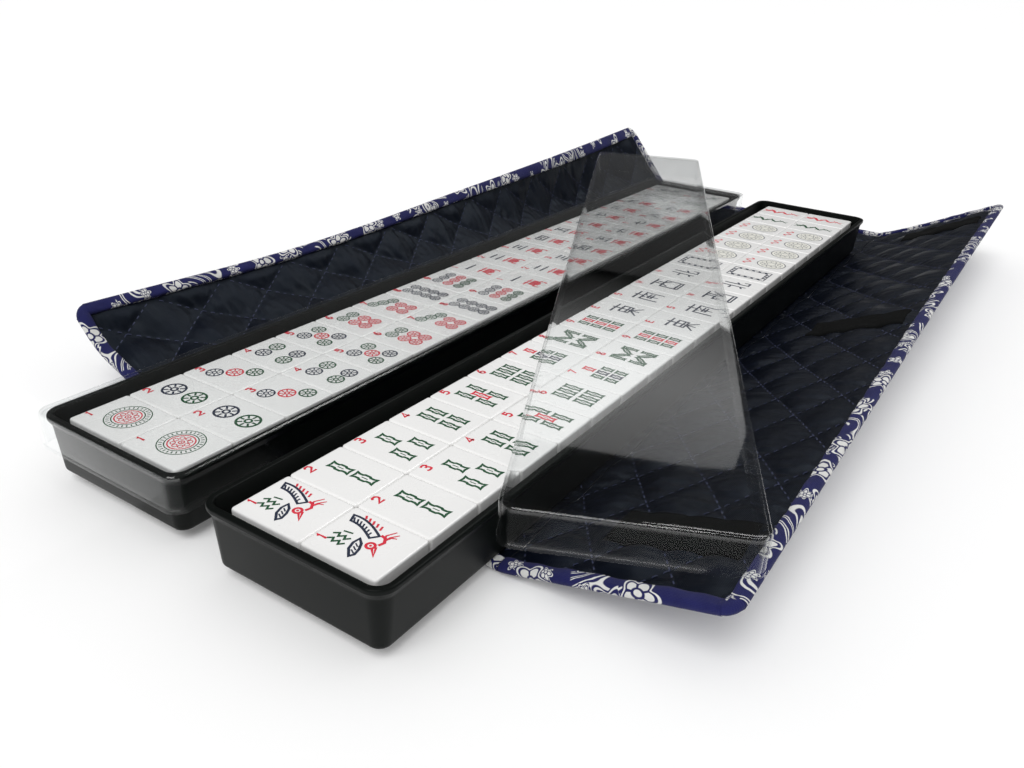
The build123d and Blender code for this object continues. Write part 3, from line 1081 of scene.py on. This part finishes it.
big, big_edge = blossoms(warped, 38.0, 0.0074, 5.0, 0.0)
small, small_edge = blossoms(warped, 70.0, 0.0032, 6.0, 0.31)
clear = calico.step(big_edge, 1.12, 1.2)
scroll = curls(warped, 52.0) * calico.step(calico.noise(40.0, 0.0, flat), 0.5, 0.52)
scroll = scroll * clear * calico.step(small_edge, 1.1, 1.2)
printed = big.math("MAXIMUM", small * clear).math("MAXIMUM", scroll)
threads, wefts = (calico.wave(way, {"Vector": flat, "Scale": 700.0}) for way in ("X", "Y"))
fade = calico.noise(180.0, 3.0, flat)
navy = calico.mix(fade, (0.008, 0.009, 0.072), (0.015, 0.017, 0.115))
white = calico.mix(fade, (0.62, 0.62, 0.60), (0.82, 0.82, 0.80))
calico.set(Base_Color=calico.mix(printed, navy, white), Roughness=0.78, Specular_IOR_Level=0.22,
           Sheen_Weight=0.05, Sheen_Roughness=0.5)
calico.bump(threads * wefts + fade * 0.6, 0.00022, 0.6)


def cover_under(side, p, q):
    """Height of the printed side: the quilting draws it in, more softly than the satin."""
    return cover_dimple * (1 - np.minimum(pillow(print_place(side, p), q), 1.0))


def borders(side):
    """The binding's outer and inner edges on the flat cloth, paired point by point.

    A flap's one border runs out along one end, round both corners and back; the inner edge is the
    binding's width in, its corners almost square. The floor has two straight borders.
    """
    half = wrap_length / 2
    if side == 0:
        across = np.linspace(left_fold, right_fold, int((right_fold - left_fold) / binding_step))
        return [(merge(across, end * half), merge(across, end * half) - (0, end * binding_width))
                for end in (-1, 1)]
    stop = flap_width[side] - binding_width
    straight = np.linspace(0, stop, int(stop / binding_step))
    angle = np.linspace(0, 1, 14) * math.pi / 2
    near_out = merge(straight, -half)
    near_in = near_out + (0, binding_width)
    arc = merge(flap_width[side] - corner_radius + corner_radius * np.sin(angle),
                -half + corner_radius - corner_radius * np.cos(angle))
    arc_in = merge(stop + 0.6 * np.sin(angle), -half + binding_width - 0.6 * np.cos(angle))
    arc_in += (-0.6, 0.6)
    side_along = np.linspace(-half + binding_width, half - binding_width, int(2 * half / binding_step))
    long_out = merge(flap_width[side], side_along)
    long_in = long_out - (binding_width, 0)
    flip = np.array([1, -1])
    outer = np.concatenate([near_out, arc, long_out, (arc * flip)[::-1], (near_out * flip)[::-1]])
    inner = np.concatenate([near_in, arc_in, long_in, (arc_in * flip)[::-1], (near_in * flip)[::-1]])
    return [(outer, inner)]


def bound_edge(side, outer, inner):
    """A folded strip along a border: its section goes in on top, round the edge and back below.

    d is how far in from the outer edge a point of the section lies, and h how high. Ripples, each
    a sine wave along the strip, lift its top.
    """
    thick = wrap_thickness + binding_rise
    turn = np.linspace(math.pi / 2, -math.pi / 2, 9)
    fold_in = (1 - np.cos(turn)) * thick / 2
    fold_up = thick / 2 + np.sin(turn) * thick / 2
    d = np.concatenate([[binding_width, binding_width - 0.4, 4.0, 2.7], fold_in, [3.6, binding_width]])
    h = np.concatenate([[thick - 0.8, thick - 0.12, thick + 0.1, thick + 0.1], fold_up, [0.0, 0.0]])
    step = np.linalg.norm(np.diff(outer + inner, axis=0), axis=1) / 2
    run = np.concatenate([[0], np.cumsum(step)])[:, None]
    flat = outer[:, None] + (inner - outer)[:, None] * (d / binding_width)[:, None]
    p, q = flat[..., 0].ravel(), flat[..., 1].ravel()
    wave = sum(height * np.sin(run * rate + start) for height, rate, start in binding_ripples)
    lift = np.where((d > 2.4) & (h > thick / 2), wave, 0.0)
    points = cloth(side, p, q, (h + lift).ravel())
    around = np.concatenate([[0], np.cumsum(np.hypot(np.diff(d), np.diff(h)))])
    return points, tube_faces(len(outer), len(d)), merge(run, around).reshape(-1, 2)


for name, side, start, stop in parts_of_wrap:
    points, faces, flat_places = pad_mesh(
        side, start, stop - (0.5 if side else 0.0), lambda side, p, q: cover_top,
        cover_under, cover_grid, binding_width - binding_lap + 0.5)
    cover = piece(f"{name}_calico", [(points, faces, 0)], [calico], sharp=70.0)
    map_cloth(cover, flat_places)
    hang(cover, side)
    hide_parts(f"{name}_cover")

    strips = [bound_edge(side, outer, inner) for outer, inner in borders(side)]
    binding = piece(f"{name}_bound_edge", [(points, faces, 0) for points, faces, _ in strips], [calico],
                    sharp=50.0)
    map_cloth(binding, np.concatenate([flat_places for _, _, flat_places in strips]))
    hang(binding, side)
    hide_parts(f"{name}_binding")
    width = (stop - start + (binding_width if side else 0)) * mm
    "laid" if side == 0 else "folded"

# ---- hook and loop tapes ----
# Three strips of black loop tape sewn on the right flap's lining close the case against three
# strips of hook tape on the outside of the left flap.

tape_width = 21.0
tape_pitch = 214.0
tape_end = 10.3
tape_grid = 0.8
tape_rounding = 1.2
tape_follow = 0.5
tape_seat = 1.1
tape_sunk = 0.6
tuft_height = 0.04

loop_pile = Finish("loop_pile")
fuzz = loop_pile.noise(1500.0, 3.0)
loop_pile.set(
    Base_Color=loop_pile.mix(fuzz, (0.0018, 0.0020, 0.0021), (0.0055, 0.0060, 0.0060)),
    Roughness=0.95,
    Specular_IOR_Level=0.15,
)
loop_pile.bump(fuzz, 0.00015, 0.6)

hook_tape = Finish("hook_tape")
hooks = hook_tape.node("ShaderNodeTexVoronoi", None,
                       {"Vector": hook_tape.place(), "Scale": 900.0}, "Distance")
hook_tape.set(Base_Color=hook_tape.mix(hooks, (0.012, 0.012, 0.013), (0.003, 0.003, 0.004)), Roughness=0.55)
hook_tape.bump(1.0 - hooks, 0.0006, 0.9)

pile_random = np.random.default_rng(11)


def tape(side, start, stop, middle, thick):
    """A closed strip across a flap: rounded edges, and a pile of small random tufts on one face.

    The right flap's strips lie on the lining and follow half of its relief, which they press
    down; the left flap's lie below, on the printed side.
    """
    across = np.linspace(start, stop, int((stop - start) / tape_grid) + 1)
    along = np.linspace(-0.5, 0.5, int(tape_width / tape_grid) + 1)
    q = np.concatenate([along, along[::-1]]) * tape_width + middle
    p, q = np.meshgrid(across, q, indexing="ij")
    upper = np.arange(p.shape[1]) < len(along)
    edge = np.minimum(np.minimum(p - start, stop - p), tape_width / 2 - np.abs(q - middle))
    soft = np.sqrt(np.clip(edge / tape_rounding, 0.04, 1))
    tuft = pile_random.uniform(-tuft_height, tuft_height, p.shape)
    rise = (thick + tuft) * soft
    if side > 0:
        base = tape_follow * lining_top(side, p, q) + tape_seat
        h = np.where(upper, base + rise, base - tape_sunk)
    else:
        base = cover_under(side, p, q)
        h = np.where(upper, base + 0.5, base - rise)
    return cloth(side, p, q, h), tube_faces(*p.shape)


for name, node, side, start, thick, finish, slot, body in (
        ("loop_strips", "loop_tapes", 1, 26.0, 1.2, loop_pile, "loop_tape", "right_flap"),
        ("hook_strips", "hook_tapes", -1, 14.0, 1.3, hook_tape, "hook_tape", "left_flap")):
    stop = flap_width[side] - tape_end
    strips = [(*tape(side, start, stop, number * tape_pitch, thick), 0) for number in (-1, 0, 1)]
    tapes = piece(name, strips, [finish], sharp=60.0)
    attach(tapes, body)
    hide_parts(node)
